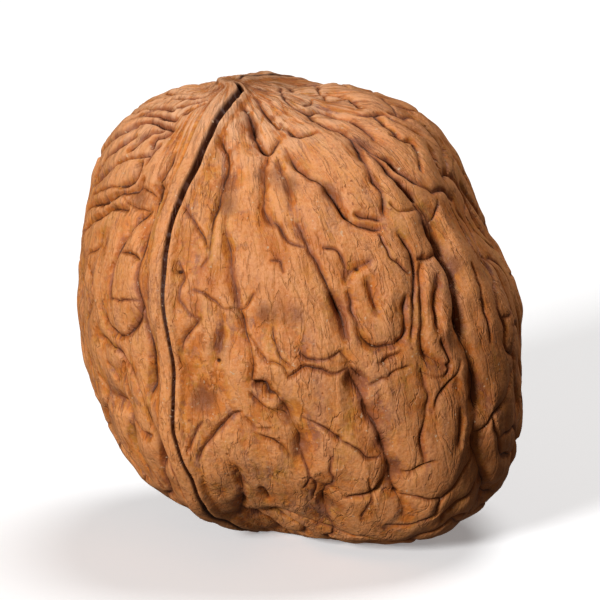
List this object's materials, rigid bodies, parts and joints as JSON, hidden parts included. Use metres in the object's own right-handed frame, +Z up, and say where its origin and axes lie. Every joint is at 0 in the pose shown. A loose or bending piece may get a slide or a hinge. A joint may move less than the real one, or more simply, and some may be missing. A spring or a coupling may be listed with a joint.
{
  "type": "walnut",
  "caption": "Whole walnut in its shell: a rounded, slightly lopsided nut with a raised seam, ribs fanning from its tip into a net of furrows, and a small flat spot below.",
  "frame": {"origin": "middle of the nut's box in X and Y, at the level of its flat spot", "axes": "+Z up from the flat spot to the tip, -Y towards the viewer of the picture, +X to that viewer's right"},
  "size_m": [0.0354, 0.0354, 0.0369],
  "materials": {
    "shell": "matt, dry tan-brown nutshell, darker in its furrows"
  },
  "bodies": {
    "root": {"shell": "shell"}
  },
  "joints": []
}
